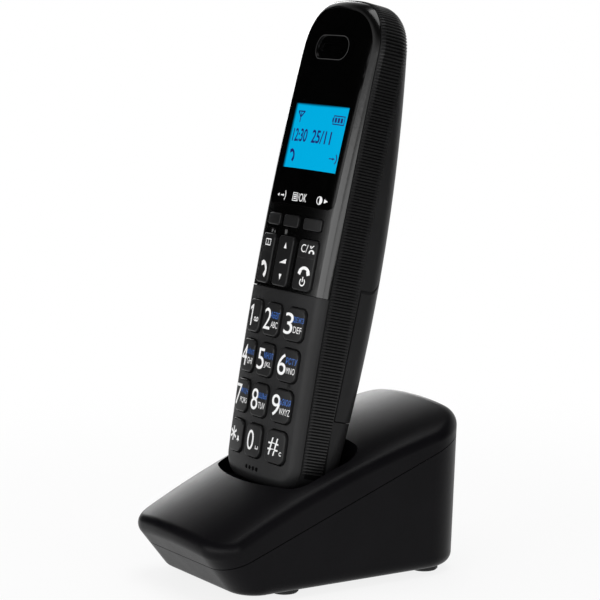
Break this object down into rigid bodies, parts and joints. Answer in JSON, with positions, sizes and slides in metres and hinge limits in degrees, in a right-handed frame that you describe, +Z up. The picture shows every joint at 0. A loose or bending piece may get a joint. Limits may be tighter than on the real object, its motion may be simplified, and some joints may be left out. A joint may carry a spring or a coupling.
{
  "type": "cordless phone with charging base",
  "caption": "Slim cordless phone handset with number keys, rocker keys and a lit display, leaning back in the cradle of a small sloping charging base.",
  "frame": {"origin": "on the table, under the middle of the base", "axes": "+Z up, the base's front faces -Y, +X to the right as seen from the front"},
  "size_m": [0.063, 0.0993, 0.1885],
  "materials": {
    "casing_black": "fine satin grain",
    "gloss_black": "polished",
    "window_clear": "polished, clear over the screen",
    "grip_black": "fine cross ribs",
    "key_black": "satin, with printed white legends",
    "rocker_black": "satin gloss",
    "base_black": "satin",
    "rubber_black": "matt",
    "keypad_rubber": "matt",
    "board_green": "lacquered board",
    "screen_blue": "backlit",
    "light_white": "clear light guide",
    "speaker_black": "matt",
    "socket_black": "moulded",
    "plated_steel": "nickel plated",
    "copper_wire": "drawn",
    "cell_sleeve": "shrink sleeve"
  },
  "bodies": {
    "base": {"base_body": "base_black", "base_top_cover": "base_black", "base_feet": "rubber_black", "base_screws": "plated_steel", "base_board": "board_green", "line_socket": "socket_black", "power_socket": "socket_black", "charge_spring_left": "plated_steel", "charge_spring_right": "plated_steel", "shield_can": "plated_steel", "base_aerial": "copper_wire"},
    "handset": {"front_shell": "casing_black", "face_plate": "gloss_black", "display_window": "window_clear", "back_shell": "casing_black", "side_grip": "grip_black", "handset_charge_plates": "plated_steel", "key_mat": "keypad_rubber", "handset_board": "board_green", "lcd_glass": "screen_blue", "light_guide": "light_white", "earpiece_speaker": "speaker_black", "earpiece_grille": "speaker_black", "microphone": "speaker_black", "ringer_speaker": "speaker_black", "handset_aerial": "copper_wire", "battery_tray": "socket_black", "battery_contacts": "plated_steel", "battery_cell_left": "cell_sleeve", "battery_cell_right": "cell_sleeve"},
    "battery_cover": {"battery_cover": "casing_black"},
    "page_button": {"page_button": "base_black"},
    "dial_key_star": {"dial_key_star": "key_black"},
    "dial_key_0": {"dial_key_0": "key_black"},
    "dial_key_hash": {"dial_key_hash": "key_black"},
    "dial_key_7": {"dial_key_7": "key_black"},
    "dial_key_8": {"dial_key_8": "key_black"},
    "dial_key_9": {"dial_key_9": "key_black"},
    "dial_key_4": {"dial_key_4": "key_black"},
    "dial_key_5": {"dial_key_5": "key_black"},
    "dial_key_6": {"dial_key_6": "key_black"},
    "dial_key_1": {"dial_key_1": "key_black"},
    "dial_key_2": {"dial_key_2": "key_black"},
    "dial_key_3": {"dial_key_3": "key_black"},
    "soft_key_left": {"soft_key_left": "key_black"},
    "soft_key_middle": {"soft_key_middle": "key_black"},
    "soft_key_right": {"soft_key_right": "key_black"},
    "rocker_left": {"rocker_left": "rocker_black"},
    "rocker_middle": {"rocker_middle": "rocker_black"},
    "rocker_right": {"rocker_right": "rocker_black"}
  },
  "joints": [
    {"name": "handset_lift", "type": "slide", "parent": "base", "child": "handset", "axis": [0, 0.2326, 0.9726], "range_m": [0, 0.06]},
    {"name": "battery_cover_off", "type": "slide", "parent": "handset", "child": "battery_cover", "axis": [0, 0.9726, -0.2326], "range_m": [0, 0.0085]},
    {"name": "page_press", "type": "slide", "parent": "base", "child": "page_button", "axis": [0, -1, 0], "range_m": [0, 0.0008], "stiffness_N_per_m": 300},
    {"name": "dial_key_star_press", "type": "slide", "parent": "handset", "child": "dial_key_star", "axis": [0, 0.9726, -0.2326], "range_m": [0, 0.0008], "stiffness_N_per_m": 300},
    {"name": "dial_key_0_press", "type": "slide", "parent": "handset", "child": "dial_key_0", "axis": [0, 0.9726, -0.2326], "range_m": [0, 0.0008], "stiffness_N_per_m": 300},
    {"name": "dial_key_hash_press", "type": "slide", "parent": "handset", "child": "dial_key_hash", "axis": [0, 0.9726, -0.2326], "range_m": [0, 0.0008], "stiffness_N_per_m": 300},
    {"name": "dial_key_7_press", "type": "slide", "parent": "handset", "child": "dial_key_7", "axis": [0, 0.9726, -0.2326], "range_m": [0, 0.0008], "stiffness_N_per_m": 300},
    {"name": "dial_key_8_press", "type": "slide", "parent": "handset", "child": "dial_key_8", "axis": [0, 0.9726, -0.2326], "range_m": [0, 0.0008], "stiffness_N_per_m": 300},
    {"name": "dial_key_9_press", "type": "slide", "parent": "handset", "child": "dial_key_9", "axis": [0, 0.9726, -0.2326], "range_m": [0, 0.0008], "stiffness_N_per_m": 300},
    {"name": "dial_key_4_press", "type": "slide", "parent": "handset", "child": "dial_key_4", "axis": [0, 0.9726, -0.2326], "range_m": [0, 0.0008], "stiffness_N_per_m": 300},
    {"name": "dial_key_5_press", "type": "slide", "parent": "handset", "child": "dial_key_5", "axis": [0, 0.9726, -0.2326], "range_m": [0, 0.0008], "stiffness_N_per_m": 300},
    {"name": "dial_key_6_press", "type": "slide", "parent": "handset", "child": "dial_key_6", "axis": [0, 0.9726, -0.2326], "range_m": [0, 0.0008], "stiffness_N_per_m": 300},
    {"name": "dial_key_1_press", "type": "slide", "parent": "handset", "child": "dial_key_1", "axis": [0, 0.9726, -0.2326], "range_m": [0, 0.0008], "stiffness_N_per_m": 300},
    {"name": "dial_key_2_press", "type": "slide", "parent": "handset", "child": "dial_key_2", "axis": [0, 0.9726, -0.2326], "range_m": [0, 0.0008], "stiffness_N_per_m": 300},
    {"name": "dial_key_3_press", "type": "slide", "parent": "handset", "child": "dial_key_3", "axis": [0, 0.9726, -0.2326], "range_m": [0, 0.0008], "stiffness_N_per_m": 300},
    {"name": "soft_key_left_press", "type": "slide", "parent": "handset", "child": "soft_key_left", "axis": [0, 0.9726, -0.2326], "range_m": [0, 0.0008], "stiffness_N_per_m": 300},
    {"name": "soft_key_middle_press", "type": "slide", "parent": "handset", "child": "soft_key_middle", "axis": [0, 0.9726, -0.2326], "range_m": [0, 0.0008], "stiffness_N_per_m": 300},
    {"name": "soft_key_right_press", "type": "slide", "parent": "handset", "child": "soft_key_right", "axis": [0, 0.9726, -0.2326], "range_m": [0, 0.0008], "stiffness_N_per_m": 300},
    {"name": "rocker_left_tilt", "type": "hinge", "parent": "handset", "child": "rocker_left", "pos_m": [-0.012, -0.00181, 0.10365], "axis": [1, 0, 0], "range_deg": [-2, 2], "stiffness_Nm_per_rad": 0.1},
    {"name": "rocker_middle_tilt", "type": "hinge", "parent": "handset", "child": "rocker_middle", "pos_m": [0, -0.00181, 0.10365], "axis": [1, 0, 0], "range_deg": [-2, 2], "stiffness_Nm_per_rad": 0.1},
    {"name": "rocker_right_tilt", "type": "hinge", "parent": "handset", "child": "rocker_right", "pos_m": [0.012, -0.00181, 0.10365], "axis": [1, 0, 0], "range_deg": [-2, 2], "stiffness_Nm_per_rad": 0.1}
  ]
}
